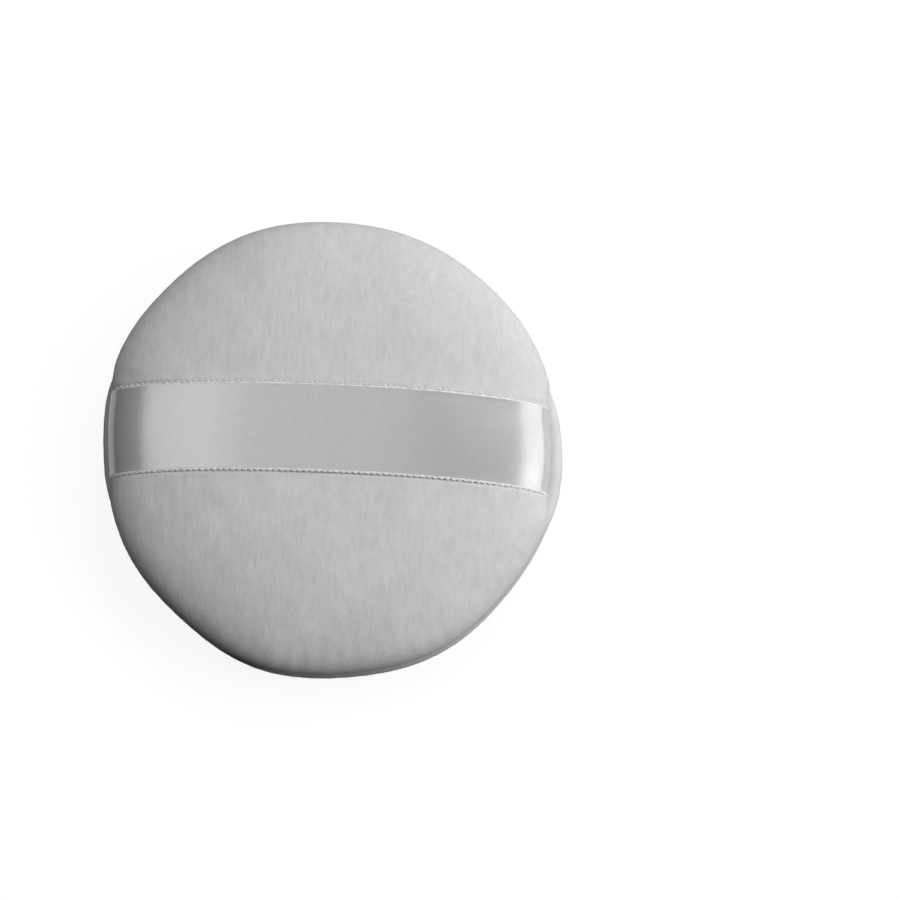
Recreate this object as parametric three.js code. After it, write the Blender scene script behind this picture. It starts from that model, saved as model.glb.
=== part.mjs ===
// Powder puff: two velour covers sewn together over a foam core and wadding, with a satin
// ribbon across the back whose ends are caught in the rim seam.
// Millimetres, +Z up. The origin is the middle of the flat on which the powder face rests,
// +X runs along the ribbon.
import * as THREE from 'three';
import { mergeVertices } from 'three/addons/utils/BufferGeometryUtils.js';

// Driving dimensions of the pad
const padRadius = 40;
const coverThickness = 1;
const seamAllowance = 5;
const foldInnerRadius = 0.2;
const foamThickness = 8;
const backWaddingLoft = 2.9;
const faceWaddingLoft = 1.9;
const restFlatDepth = 0.5;

// Driving dimensions of the ribbon and the threads
const ribbonWidth = 16;
const ribbonThickness = 0.3;
const ribbonOffset = 1.2;
const ribbonBow = 1.15;
const ribbonEndDraw = { right: 1.6, left: 0.7 };
const faceEndPush = 0.4;
const endHoldWidth = 12;
const endFadeReach = 8;
const threadDiameter = 0.3;
const seamInset = 1.8;
const closingGapLength = 30;
const closingStitchLength = 2.5;
const closingStitchDepth = 0.4;

// Space that touching pieces keep from each other
const clearance = 0.3;

// Shape shares: how full the crown is, how soon the pull of the ribbon's ends fades towards the
// pad's middle, where the ribbon's free span ends, and the slow waves of the rim. Each wave has
// its count round the rim, its height as a share of the radius and the direction of one crest
// in degrees.
const crownPower = 3;
const pullPower = 4;
const spanEndShare = 0.86;
const rimWaveShares = [
  { count: 2, share: 0.0157, crest: 112 },
  { count: 3, share: 0.005, crest: 17 },
  { count: 7, share: 0.003, crest: 0 },
  { count: 8, share: 0.004, crest: -16 },
];

// Facets
const roundSteps = 60;
const outerCrownSteps = 8;
const innerCrownSteps = 6;
const edgeSteps = 3;
const spanSteps = 24;
const acrossSteps = 6;
const tailShoulderSteps = 4;
const tailEdgeSteps = 4;
const tailTuckSteps = 1;
const threadSides = 6;
const threadStepLength = 2.8;
const stepsPerClosingStitch = 6;

// A turned-in edge is a round fold about a small inner radius
const foldRadius = foldInnerRadius + coverThickness;

// The stack of layers gives the crowns, measured from the plane of the rim seam
const foamCrown = foamThickness / 2;
const backCrown = foamCrown + clearance + backWaddingLoft + clearance + coverThickness;
const faceCrown = foamCrown + clearance + faceWaddingLoft + clearance + coverThickness;
const seamHeight = faceCrown - restFlatDepth;
const foamRadius = padRadius - seamAllowance - clearance;

// The turned-in edges lie this far from the seam plane: a thread or a ribbon end fits between
const seamFillThickness = Math.max(ribbonThickness, threadDiameter);
const seamHalfGap = seamFillThickness / 2 + clearance;

// The cover's outside, its inside and the wadding's outside: base is the height off the seam
// plane at which each crown curve starts upright from its radius.
const coverOutside = { radius: padRadius, base: seamHalfGap + foldRadius };
const coverInside = { radius: padRadius - coverThickness, base: seamHalfGap + coverThickness };
const waddingOutside = {
  radius: coverInside.radius - clearance,
  base: coverInside.base + clearance,
};

const fullTurn = 2 * Math.PI;

const spread = (count) => Array.from({ length: count + 1 }, (unused, step) => step / count);

// The rim's distance from the axis at an angle, as a share of the pad's radius
function rimShare(angle) {
  const heightShares = rimWaveShares.map(({ count, share, crest }) => {
    return share * Math.cos(count * (angle - THREE.MathUtils.degToRad(crest)));
  });
  return 1 + heightShares.reduce((sum, height) => sum + height, 0);
}

// The ribbon's middle line passes beside the pad's middle and bows towards -Y at its ends
const middleLineAt = (x) => ribbonOffset - ribbonBow * (x / padRadius) ** 2;

// How much of the pull of a ribbon's sewn-in end is felt at an angle: 1 across the end, and
// fading to 0 beside it
function endPull(angle) {
  const beside = Math.abs(padRadius * Math.sin(angle) - middleLineAt(padRadius));
  const faded = THREE.MathUtils.clamp((beside - endHoldWidth / 2) / endFadeReach, 0, 1);
  return Math.cos((Math.PI / 2) * faded) ** 2;
}

// The distance from the axis, at an angle, of a ring round the pad. side is 1 above the seam
// plane, where the ribbon's ends draw the rim in, and -1 below it, where the face bulges out.
function ringRadius(angle, radius, side = 1) {
  const draw = Math.cos(angle) > 0 ? ribbonEndDraw.right : ribbonEndDraw.left;
  const shift = side > 0 ? -draw : faceEndPush;
  return radius * rimShare(angle) + shift * endPull(angle) * (radius / padRadius) ** pullPower;
}

// A crown curve from its level top out to its upright rim. The level cuts the top flat.
function crownCurve({ radius, base }, crown, level, steps) {
  const rise = crown - base;
  const startTilt = Math.acos((level - base) / rise);
  const points = spread(steps).map((share) => {
    const tilt = startTilt + (Math.PI / 2 - startTilt) * share;
    return new THREE.Vector2(radius * Math.sin(tilt) ** (2 / crownPower), base + rise * Math.cos(tilt));
  });
  return startTilt > 0 ? [new THREE.Vector2(0, level), ...points] : points;
}

// The rounded fold of a cover, from its outside down into the seam
function foldCurve() {
  return spread(edgeSteps).slice(1).map((share) => {
    const turn = (Math.PI / 2) * share;
    const out = padRadius - foldRadius * (1 - Math.cos(turn));
    return new THREE.Vector2(out, coverOutside.base - foldRadius * Math.sin(turn));
  });
}

function closedSolid(geometry) {
  geometry.deleteAttribute('normal');
  geometry.deleteAttribute('uv');
  return mergeVertices(geometry);
}

// Turns a half profile round the pad's axis and gives it the waves and the pull of the rim
function turned(profile, side) {
  const ordered = side > 0 ? [...profile].reverse() : profile;
  const points = ordered.map((point) => new THREE.Vector2(point.x, side * point.y));
  const geometry = closedSolid(new THREE.LatheGeometry(points, roundSteps));
  geometry.rotateX(Math.PI / 2);
  const place = geometry.getAttribute('position');
  for (let index = 0; index < place.count; index += 1) {
    const angle = Math.atan2(place.getY(index), place.getX(index));
    const moved = ringRadius(angle, Math.hypot(place.getX(index), place.getY(index)), side);
    place.setXY(index, moved * Math.cos(angle), moved * Math.sin(angle));
  }
  return geometry;
}

function coverProfile(crown, flatDepth) {
  const level = crown - flatDepth;
  const allowanceEnd = padRadius - seamAllowance;
  return [
    ...crownCurve(coverOutside, crown, level, outerCrownSteps),
    ...foldCurve(),
    new THREE.Vector2(allowanceEnd, seamHalfGap),
    new THREE.Vector2(allowanceEnd, coverInside.base),
    ...crownCurve(coverInside, crown - coverThickness, level - coverThickness, innerCrownSteps).reverse(),
  ];
}

// The wadding fills the cover down to its turned-in edge, and its underside takes the foam
function waddingProfile(crown, flatDepth) {
  const outerCrown = crown - coverThickness - clearance;
  const lipHeight = waddingOutside.base;
  const foamSide = { radius: foamRadius + clearance, base: 0 };
  const foamTop = foamCrown + clearance;
  const lipTilt = Math.acos(Math.min(1, lipHeight / foamTop));
  const lipRadius = foamSide.radius * Math.sin(lipTilt) ** (2 / crownPower);
  const hollow = crownCurve(foamSide, foamTop, foamTop, innerCrownSteps).filter(({ y }) => y > lipHeight);
  return [
    ...crownCurve(waddingOutside, outerCrown, outerCrown - flatDepth, innerCrownSteps),
    new THREE.Vector2(lipRadius, lipHeight),
    ...hollow.reverse(),
  ];
}

// The foam disc is squeezed round at its rim, alike above and below
function foamProfile() {
  const half = crownCurve({ radius: foamRadius, base: 0 }, foamCrown, foamCrown, innerCrownSteps);
  const lower = half.slice(0, -1).reverse().map((point) => new THREE.Vector2(point.x, -point.y));
  return [...half, ...lower];
}

// A point above the back cover, in the half plane at an angle round the axis. tilt runs from
// zero at the crown's middle to a quarter turn at the rim, away is the distance off the cloth.
function abovePad(angle, tilt, away) {
  const rise = backCrown - coverOutside.base;
  const outward = rise * Math.sin(tilt) ** (2 - 2 / crownPower);
  const upward = padRadius * (2 / crownPower) * Math.cos(tilt);
  const length = Math.hypot(outward, upward);
  const radius = ringRadius(angle, padRadius * Math.sin(tilt) ** (2 / crownPower));
  return {
    radius: radius + (away * outward) / length,
    height: coverOutside.base + rise * Math.cos(tilt) + (away * upward) / length,
  };
}

const tiltAtShare = (share) => Math.asin(share ** (crownPower / 2));

// The tilt at which a point over the crown stands, from its angle and distance from the axis
function tiltUnder(angle, distance) {
  const rounds = 4;
  let share = distance / padRadius;
  for (let round = 0; round < rounds; round += 1) {
    share *= distance / ringRadius(angle, padRadius * share);
  }
  return tiltAtShare(share);
}

// Where a lengthwise line of the ribbon crosses a ring round the pad. The ring is a station: it
// gives its radius and height at each angle. side is 1 at the right and -1 at the left.
function crossing(side, across, station, away) {
  const rounds = 4;
  let angle = side > 0 ? 0 : Math.PI;
  for (let round = 0; round < rounds; round += 1) {
    const { radius } = station(angle, away);
    const turn = Math.asin((across + middleLineAt(radius * Math.cos(angle))) / radius);
    angle = side > 0 ? turn : Math.PI - turn;
  }
  return { angle, ...station(angle, away) };
}

function spot(angle, radius, height) {
  return new THREE.Vector3(radius * Math.cos(angle), radius * Math.sin(angle), seamHeight + height);
}

// A sheet with an inner and an outer skin, closed round its edge.
// pointAt takes a share along, a share across and the skin: 0 inside, 1 outside.
function slab(alongSteps, pointAt) {
  const along = spread(alongSteps);
  const across = spread(acrossSteps);
  const rowLength = across.length;
  const skinSize = along.length * rowLength;
  const points = [0, 1].flatMap((skin) => along.flatMap((a) => across.map((b) => pointAt(a, b, skin))));
  const at = (skin, row, column) => skin * skinSize + row * rowLength + column;
  const faces = [];
  const quad = (a, b, c, d) => faces.push(a, b, c, a, c, d);
  for (let row = 0; row < alongSteps; row += 1) {
    const next = row + 1;
    for (let column = 0; column < acrossSteps; column += 1) {
      const beside = column + 1;
      quad(at(1, row, column), at(1, next, column), at(1, next, beside), at(1, row, beside));
      quad(at(0, row, column), at(0, row, beside), at(0, next, beside), at(0, next, column));
    }
    quad(at(0, row, 0), at(0, next, 0), at(1, next, 0), at(1, row, 0));
    const last = acrossSteps;
    quad(at(1, row, last), at(1, next, last), at(0, next, last), at(0, row, last));
  }
  for (let column = 0; column < acrossSteps; column += 1) {
    const beside = column + 1;
    const last = alongSteps;
    quad(at(0, 0, column), at(1, 0, column), at(1, 0, beside), at(0, 0, beside));
    quad(at(1, last, column), at(0, last, column), at(0, last, beside), at(1, last, beside));
  }
  const geometry = new THREE.BufferGeometry();
  geometry.setFromPoints(points);
  geometry.setIndex(faces);
  return geometry;
}

const acrossRibbon = (share) => ribbonWidth * (share - 1 / 2);
const awayOfSkin = (skin) => clearance + ribbonThickness * skin;

// The free span lies on the crown between the two rings where the sewn-in ends begin
function ribbonSpan() {
  const lastRing = (angle, away) => abovePad(angle, tiltAtShare(spanEndShare), away);
  const endX = (side, across) => {
    const { angle, radius } = crossing(side, across, lastRing, 0);
    return radius * Math.cos(angle);
  };
  return slab(spanSteps, (alongShare, acrossShare, skin) => {
    const across = acrossRibbon(acrossShare);
    const x = THREE.MathUtils.lerp(endX(-1, across), endX(1, across), alongShare);
    const y = across + middleLineAt(x);
    const angle = Math.atan2(y, x);
    const tilt = tiltUnder(angle, Math.hypot(x, y));
    const { radius, height } = abovePad(angle, tilt, awayOfSkin(skin));
    return spot(angle, radius, height);
  });
}

// A sewn-in end goes down the shoulder, round the fold and flat into the seam, where it stops
// at the edge of the seam allowances.
function tailStations() {
  const startTilt = tiltAtShare(spanEndShare + clearance / padRadius);
  const shoulder = spread(tailShoulderSteps).map((share) => {
    const tilt = THREE.MathUtils.lerp(startTilt, Math.PI / 2, share);
    return (angle, away) => abovePad(angle, tilt, away);
  });
  const fold = spread(tailEdgeSteps).slice(1).map((share) => (angle, away) => {
    const turn = (Math.PI / 2) * share;
    const radius = ringRadius(angle, padRadius - foldRadius * (1 - Math.cos(turn)));
    return {
      radius: radius + away * Math.cos(turn),
      height: coverOutside.base - (foldRadius + away) * Math.sin(turn),
    };
  });
  const tuck = spread(tailTuckSteps).slice(1).map((share) => (angle, away) => ({
    radius: ringRadius(angle, padRadius - THREE.MathUtils.lerp(foldRadius, seamAllowance, share)),
    height: seamHalfGap - away,
  }));
  return [...shoulder, ...fold, ...tuck];
}

function ribbonTail(side) {
  const stations = tailStations();
  const steps = stations.length - 1;
  return slab(steps, (alongShare, acrossShare, skin) => {
    const across = acrossRibbon(side > 0 ? acrossShare : 1 - acrossShare);
    const station = stations[Math.round(alongShare * steps)];
    const { angle, radius, height } = crossing(side, across, station, awayOfSkin(skin));
    return spot(angle, radius, height);
  });
}

// A line round the rim. pointAt takes the angle and the share of the way along.
class RimLine extends THREE.Curve {
  constructor(startAngle, endAngle, pointAt) {
    super();
    this.angleAt = (share) => startAngle + (endAngle - startAngle) * share;
    this.pointAt = pointAt;
  }

  getPoint(share) {
    return this.pointAt(this.angleAt(share), share);
  }
}

function thread(path, steps) {
  const section = new THREE.Shape();
  section.absarc(0, 0, threadDiameter / 2, 0, fullTurn);
  const options = { steps, extrudePath: path, bevelEnabled: false, curveSegments: threadSides / 2 };
  return closedSolid(new THREE.ExtrudeGeometry(section, options));
}

// The seam thread runs between the flat allowances and stops beside the ribbon's edges and
// beside the turning gap, which lies at the rear.
const seamLine = (angle) => ({ radius: ringRadius(angle, padRadius - seamInset), height: 0 });
const besideRibbon = ribbonWidth / 2 + clearance;
const gapMiddle = Math.PI / 2;
const gapHalfTurn = closingGapLength / 2 / padRadius;
const gapSeamStop = gapHalfTurn + clearance / padRadius;

function seamThread(startAngle, endAngle) {
  const path = new RimLine(startAngle, endAngle, (angle) => {
    const { radius, height } = seamLine(angle);
    return spot(angle, radius, height);
  });
  const arcLength = (endAngle - startAngle) * padRadius;
  return thread(path, Math.ceil(arcLength / threadStepLength));
}

function seamEnd(side, across) {
  return crossing(side, across, seamLine, 0).angle;
}

// The ladder stitches cross the groove between the two folds, up and down by turns
function closingThread() {
  const stitchCount = Math.round(closingGapLength / closingStitchLength);
  const reach = foldRadius - closingStitchDepth;
  const grooveHalfHeight = coverOutside.base - Math.sqrt(foldRadius ** 2 - reach ** 2);
  const swing = grooveHalfHeight - clearance - threadDiameter / 2;
  const path = new RimLine(gapMiddle - gapHalfTurn, gapMiddle + gapHalfTurn, (angle, share) => {
    const height = swing * Math.sin(Math.PI * stitchCount * share);
    return spot(angle, padRadius * rimShare(angle) - closingStitchDepth, height);
  });
  return thread(path, stitchCount * stepsPerClosingStitch);
}

const velour = { color: 0xdcdedd, roughness: 0.95, metalness: 0 };
const nap = { color: 0xe4e6e3, roughness: 0.92, metalness: 0 };
const foam = { color: 0xf1ead2, roughness: 0.9, metalness: 0 };
const fibre = { color: 0xf4f4f1, roughness: 0.95, metalness: 0 };
const satin = { color: 0xe6e7e7, roughness: 0.35, metalness: 0 };
const cotton = { color: 0xe8e8e6, roughness: 0.7, metalness: 0 };

const puff = new THREE.Group();

function add(name, geometry, look, height = 0) {
  const mesh = new THREE.Mesh(geometry, new THREE.MeshStandardMaterial(look));
  mesh.name = name;
  mesh.position.z = height;
  puff.add(mesh);
}

add('back_cover', turned(coverProfile(backCrown, 0), 1), velour, seamHeight);
add('face_cover', turned(coverProfile(faceCrown, restFlatDepth), -1), nap, seamHeight);
add('foam_core', turned(foamProfile(), 1), foam, seamHeight);
add('back_wadding', turned(waddingProfile(backCrown, 0), 1), fibre, seamHeight);
add('face_wadding', turned(waddingProfile(faceCrown, restFlatDepth), -1), fibre, seamHeight);
add('satin_ribbon', ribbonSpan(), satin);
add('ribbon_tail_left', ribbonTail(-1), satin);
add('ribbon_tail_right', ribbonTail(1), satin);
add('rim_seam_front', seamThread(seamEnd(-1, -besideRibbon) - fullTurn, seamEnd(1, -besideRibbon)), cotton);
add('rim_seam_rear_left', seamThread(gapMiddle + gapSeamStop, seamEnd(-1, besideRibbon)), cotton);
add('rim_seam_rear_right', seamThread(seamEnd(1, besideRibbon), gapMiddle - gapSeamStop), cotton);
add('closing_stitches', closingThread(), cotton);

export default puff;
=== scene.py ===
import math

import bpy
import numpy as np
from mathutils import Matrix, Vector


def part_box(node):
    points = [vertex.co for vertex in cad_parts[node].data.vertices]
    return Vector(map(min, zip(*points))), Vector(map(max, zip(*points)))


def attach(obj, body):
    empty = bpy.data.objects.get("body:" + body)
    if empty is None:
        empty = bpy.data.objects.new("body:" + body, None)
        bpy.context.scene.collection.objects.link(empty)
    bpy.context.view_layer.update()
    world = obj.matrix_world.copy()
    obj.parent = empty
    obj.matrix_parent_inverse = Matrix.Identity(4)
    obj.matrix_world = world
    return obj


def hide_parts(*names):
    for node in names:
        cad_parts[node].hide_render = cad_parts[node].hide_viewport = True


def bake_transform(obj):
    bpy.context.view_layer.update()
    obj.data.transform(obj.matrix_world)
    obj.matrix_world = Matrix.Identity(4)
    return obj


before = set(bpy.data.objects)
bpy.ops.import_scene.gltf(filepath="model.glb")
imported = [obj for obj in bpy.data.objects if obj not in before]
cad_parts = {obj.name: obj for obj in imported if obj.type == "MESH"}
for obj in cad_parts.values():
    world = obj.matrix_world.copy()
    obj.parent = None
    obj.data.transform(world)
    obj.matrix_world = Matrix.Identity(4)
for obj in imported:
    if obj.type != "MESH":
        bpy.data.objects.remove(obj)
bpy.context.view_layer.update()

QUARTER_TURN = math.pi / 2
HALF_TURN = math.pi
FULL_TURN = 2 * math.pi
UP = Vector((0, 0, 1))

# Driving dimensions of the pad
PAD_RADIUS = 0.040
COVER_THICKNESS = 0.001
FOLD_INNER_RADIUS = 0.0002
SEAM_ALLOWANCE = 0.005
SEAM_HALF_GAP = 0.00015
REST_FLAT_DEPTH = 0.0005
REST_FLAT_SOFTNESS = 0.00015
BACK_LEVEL_RISE = 0.0015
CLEARANCE = 0.0003

# Driving dimensions of the ribbon. Half its flat length runs from its middle to a sewn-in end.
RIBBON_WIDTH = 0.016
RIBBON_THICKNESS = 0.00025
RIBBON_OFFSET = 0.0012
RIBBON_BOW = 0.00115
RIBBON_END_DRAW_RIGHT = 0.0016
RIBBON_END_DRAW_LEFT = 0.0007
RIBBON_END_REACH = 0.0045
FACE_END_PUSH = 0.0004
END_HOLD_WIDTH = 0.012
END_FADE_REACH = 0.008
RIBBON_LIFT_OFF = 0.00008
RIBBON_WAVE = 0.00005
RIBBON_WAVE_LENGTH = 0.009
RIPPLES_PER_WAVE = 3
RIBBON_SEAM_HALF_GAP = 0.0003
RIBBON_SINK = 0.00042
RIBBON_MIDDLE_SINK = 0.00008
SELVEDGE_WIDTH = 0.0008
SELVEDGE_RISE = 0.00002
PICOT_PITCH = 0.00105
PICOT_REACH = 0.00028
PICOT_THREAD_RADIUS = 0.00014
PICOT_RISE = 0.00009

# Driving dimensions of the threads
THREAD_DIAMETER = 0.0003
THREAD_TWIST_PITCH = 0.0011
SEAM_INSET = 0.0018
SEAM_STITCH_LENGTH = 0.0026
SEAM_STITCH_SWING = 0.00008
CLOSING_GAP_LENGTH = 0.030
CLOSING_STITCH_LENGTH = 0.0025
CLOSING_STITCH_DEPTH = 0.00045
CLOSING_STITCH_SWING = 0.00075

# Relief: depths and sizes of what shapes the surface of the velour, the foam and the wadding
NAP_RELIEF = 0.00002
NAP_SIZE = 0.0011
CLUMP_RELIEF = 0.00005
CLUMP_SIZE = 0.0032
SWELL_RELIEF = 0.00016
SWELL_SIZE = 0.014
PUCKER_RELIEF = 0.00004
PUCKER_COUNT = 78
PRESS_DEPTH = 0.00012
PRESS_EDGE = 0.0005
PRESS_RIDGE = 0.00004
CLOTH_LIMIT = 0.00008
FOAM_SKIN = 0.00012
FOAM_CELL = 0.0009
WADDING_SKIN = 0.0002
WADDING_TUFT = 0.0035

# Derived dimensions. The crown curve starts upright at the crown base, off the seam.
CROWN_BASE = THREAD_DIAMETER / 2 + CLEARANCE + FOLD_INNER_RADIUS + COVER_THICKNESS
FOAM_RADIUS = PAD_RADIUS - SEAM_ALLOWANCE - CLEARANCE
BAND_HALF_WIDTH = RIBBON_WIDTH / 2 - PICOT_REACH
PLY_RADIUS = THREAD_DIAMETER / 4

# Pile: the sizes of its blades, the way its nap lies and how far a blade follows it
PILE_COUNT = 26000
PILE_SHORTEST = 0.00025
PILE_LONGEST = 0.00045
PILE_WIDTH = 0.00004
PILE_ROOT_DEPTH = 0.00012
PILE_RIBBON_MARGIN = 0.0002
PILE_NAP_SHARES = (0.15, -0.45, 0)
PILE_SPREAD_SHARE = 0.45
PILE_TURN_SHARE = 0.25
PILE_UPRIGHT_SHARE = 0.55
PILE_TIP_UPRIGHT_SHARE = 0.2
PILE_BEND_SHARE = 0.55
PILE_OWN_SHADING_SHARE = 0.25

# Shape shares as in the solids, and the rim's slow waves: count, share, and a crest in degrees
CROWN_POWER = 3
PULL_POWER = 4
SPAN_END_SHARE = 0.86
RIM_WAVE_SHARES = [
    (2, 0.0157, 112),
    (3, 0.005, 17),
    (7, 0.003, 0),
    (8, 0.004, -16),
]

# Shares and powers that shape the surface, the ribbon, its loops, the threads and the foam
SINK_START_SHARE = 0.45
SINK_REACH_SHARE = 0.45
PUCKER_START_SHARE = 0.8
PUCKER_REACH_SHARE = 0.15
PUCKER_UNEVEN_SHARE = 0.4
PRESS_FLATTEN_SHARE = 0.8
CLOTH_CALM_SHARE = 0.35
RIM_CALM_SHARE = 0.07
RIM_CALM_DEPTH_SHARE = 0.5
WAVE_FADE_SHARE = 0.1
PICOT_REACH_SHARE = 0.76
PICOT_ROOT_SHARE = 0.05
PICOT_SPREAD_SHARE = 0.35
LADDER_STEEPNESS = 2
FOAM_RING_POWER = 0.8
NAP_STRETCH_SHARES = (1, 0.35, 1)
WAVE_STRETCH_SHARES = (1, 0.35, 0)
RIPPLE_STRETCH_SHARES = (1, 0.25, 0)

# Facets, the rounds in which a place on the pad is found, and what keeps a direction off zero
AROUND = 480
CROWN_RINGS = 96
FOLD_RINGS = 8
INNER_RINGS = 12
INNER_AROUND = 120
FINE_STEPS = 4000
SPAN_ROWS = 90
SHOULDER_ROWS = 16
EDGE_ROWS = 6
TUCK_ROWS = 3
LOOPLESS_ROWS = 2
RIBBON_COLUMNS = 44
SELVEDGE_COLUMNS = 6
LOOP_STEPS = 7
TUBE_SIDES = 5
THREAD_STEPS_PER_TURN = 6
TILT_ROUNDS = 5
CROSSING_ROUNDS = 6
SHARP_FROM = math.radians(50)
OFF_ZERO = 1e-15
TUBE_UPWARD = (0.02, 0.03, 1)

# Cloth simulation of the two covers, run at a larger scale where the solver is steady
SIM_SCALE = 10
SIM_AROUND = 96
SIM_RINGS = 18
SIM_LAST_RING_MARGIN = 0.001
SIM_FRAMES = 20
SIM_PRESSURE = 4
SIM_MASS = 0.02
SIM_BENDING = 8
SIM_SHRINK_SHARE = 0.01
SIM_UNEVENNESS = 0.0002
SIM_SOFTENING = 5

# Seeds of the noises and of the piles
SIM_SEED = 11
BACK_PILE_SEED = 11
FACE_PILE_SEED = 12
NAP_SEED = 12
CLUMP_SEED = 13
SWELL_SEED = 14
PUCKER_SEED = 15
WAVE_SEED = 17
RIPPLE_SEED = 18
FOAM_SEED = 19
WADDING_SEED = 20

# Hash of the noise's lattice
AXIS_FACTORS = (73856093, 19349663, 83492791)
SEED_FACTOR = 2654435761
MIX_FACTOR = 0x45D9F3B
WORD_MASK = 0xFFFFFFFF
HALF_WORD_BITS = 16
HALF_WORD_MASK = 0xFFFF

# Patterns of the materials: sizes, on the ribbon as shares of its width, and stretches
VELOUR_FINE = 0.00035
VELOUR_STREAK = 0.0008
VELOUR_PATCH = 0.009
VELOUR_BUMP = 0.00012
STREAK_STRETCH_SHARES = (1, 0.28, 1)
VELOUR_WANDER_SHARE = 0.6
WARP_SHARE = 0.0045
WARP_STRETCH_SHARES = (0.02, 1, 1)
SLUB_SHARE = 0.03
SLUB_STRETCH_SHARES = (1, 0.25, 1)
EDGE_WIDTH = 0.00022
BEAD_SHARE = 0.055
BEAD_STRETCH_SHARES = (1, 0.1, 1)
FIBRE_STRETCH_SHARES = (1, 0.2, 1)
BUMP_SHARES = {"coarse": 0.35, "fine": 0.3, "satin": 0.3, "thread": 0.6, "foam": 0.8, "wadding": 0.7}

# Pairs of a dark and a light tone, and the shares of a field between which one becomes the other
BACK_VELOUR_TONES = ((0.605, 0.616, 0.608), (0.675, 0.688, 0.679))
FACE_VELOUR_TONES = ((0.625, 0.636, 0.627), (0.685, 0.697, 0.687))
BRUSHED_TONES = ((0.95, 0.95, 0.943), (0.995, 1, 1))
SATIN_TONES = ((0.433, 0.441, 0.433), (0.495, 0.504, 0.495))
SLUB_TONES = ((0.942, 0.942, 0.942), (1, 1, 1))
EDGE_TONES = ((0.60, 0.61, 0.60), (0.91, 0.92, 0.91))
THREAD_TONES = ((0.58, 0.58, 0.57), (0.74, 0.74, 0.73))
# The foam's own yellow tone, with painted shade: darker where the pores sink in
FOAM_AND_PORE_SHADE_TONES = ((0.55, 0.48, 0.33), (0.88, 0.83, 0.68))
WADDING_TONES = ((0.72, 0.72, 0.70), (0.90, 0.90, 0.88))
PLAIN_SPAN_SHARES = (0.3, 0.7)
EDGE_SPAN_SHARES = (0.38, 0.62)
FOAM_SPAN_SHARES = (0.05, 0.4)

# Settings of the shaders
VELOUR_SHADER = {
    "Roughness": 0.95,
    "Specular IOR Level": 0.15,
    "Sheen Weight": 0.12,
    "Sheen Roughness": 0.45,
}
SATIN_SHADER = {"IOR": 1.8, "Specular IOR Level": 0.8, "Anisotropic": 0.35, "Anisotropic Rotation": 0.25}
SATIN_ROUGHNESS = 0.23
EDGE_ROUGHNESS = 0.75
THREAD_SHADER = {"Roughness": 0.7, "Sheen Weight": 0.1}
FOAM_SHADER = {"Roughness": 0.9}
WADDING_SHADER = {"Roughness": 0.95, "Sheen Weight": 0.2}

# The name of the ribbon's flat coordinates, and the place of its middle line in them
FLAT_MAP = "along_ribbon"
MIDDLE_SHARE = 0.5

# Sockets of the Mix node where it mixes colours
MIX_FIRST = 6
MIX_SECOND = 7
MIX_RESULT = 2

# Camera and floor
CAMERA_AZIMUTH = math.radians(2.4)
CAMERA_ELEVATION = math.radians(75)
CAMERA_DISTANCE = 0.7
SENSOR_WIDTH = 36
FRAME_WIDTH = 0.1557
AIM_RIGHT_OF_PAD = 0.0206
AIM_BELOW_PAD = 0.0005
FLOOR_SIZE = 4.0
FLOOR_DROP = 0.0001
FLOOR_LIT_SHARE = 0.15
FLOOR_UNSEEN_SHARE = 0.12
FLOOR_GLOW_SHARE = 0.91

# Light: name, degrees to the right and to the rear of overhead, distance, width, length, radiance
SOFT_BOXES = [
    ("key_front", 52, -8, 0.6, 0.3, 0.3, 5.4),
    ("key_rear", 26, 39, 0.6, 0.3, 0.3, 5.0),
    ("strip", 64, 15, 0.6, 0.44, 0.3, 3.3),
    ("window", -25.5, 15, 0.8, 0.38, 0.31, 2.5),
    ("ceiling", -4, 15, 0.8, 0.225, 0.31, 1.2),
]
AMBIENT = 0.02

# Heights that come from the solids. A cover is pressed flat at its level, which at the back stands
# clear of the crown.
back_low, back_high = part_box("back_cover")
face_low, face_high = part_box("face_cover")
foam_low, foam_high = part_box("foam_core")
SEAM_HEIGHT = (back_low.z + face_high.z) / 2
BACK_CROWN = back_high.z - SEAM_HEIGHT
FACE_CROWN = SEAM_HEIGHT - face_low.z + REST_FLAT_DEPTH
BACK_LEVEL = BACK_CROWN + BACK_LEVEL_RISE
FACE_LEVEL = FACE_CROWN - REST_FLAT_DEPTH
FOAM_HALF_HEIGHT = (foam_high.z - foam_low.z) / 2


# Smooth noise on a fixed lattice, the same in every run

def lattice_value(cells, seed):
    """A number from 0 to 1 for each whole-numbered cell."""
    word = np.bitwise_xor.reduce(cells * np.array(AXIS_FACTORS), axis=-1)
    word = (word ^ (seed * SEED_FACTOR)) & WORD_MASK
    for _ in range(2):
        word = ((word ^ (word >> HALF_WORD_BITS)) * MIX_FACTOR) & WORD_MASK
    return ((word ^ (word >> HALF_WORD_BITS)) & HALF_WORD_MASK) / HALF_WORD_MASK


def smooth_step(values):
    values = np.clip(values, 0, 1)
    return values * values * (3 - 2 * values)


def smooth_noise(points, size, seed):
    """Values from -1 to 1 that change over about the given size."""
    scaled = points / size
    cells = np.floor(scaled).astype(np.int64)
    part = smooth_step(scaled - cells)
    total = 0
    for corner in np.ndindex(2, 2, 2):
        weight = np.prod(np.where(np.array(corner), part, 1 - part), axis=-1)
        total = total + weight * lattice_value(cells + np.array(corner), seed)
    return 2 * total - 1


# Helpers for lines and grids of points

def unit(vectors):
    """The vectors brought to length 1."""
    return vectors / np.linalg.norm(vectors, axis=-1, keepdims=True)


def line_reach(line):
    """How far along a line each of its points lies."""
    return np.concatenate([[0], np.cumsum(np.linalg.norm(np.diff(line, axis=0), axis=1))])


def placed(angle, radius, height):
    points = np.broadcast_arrays(radius * np.cos(angle), radius * np.sin(angle), height)
    return np.stack(points, axis=-1)


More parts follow.
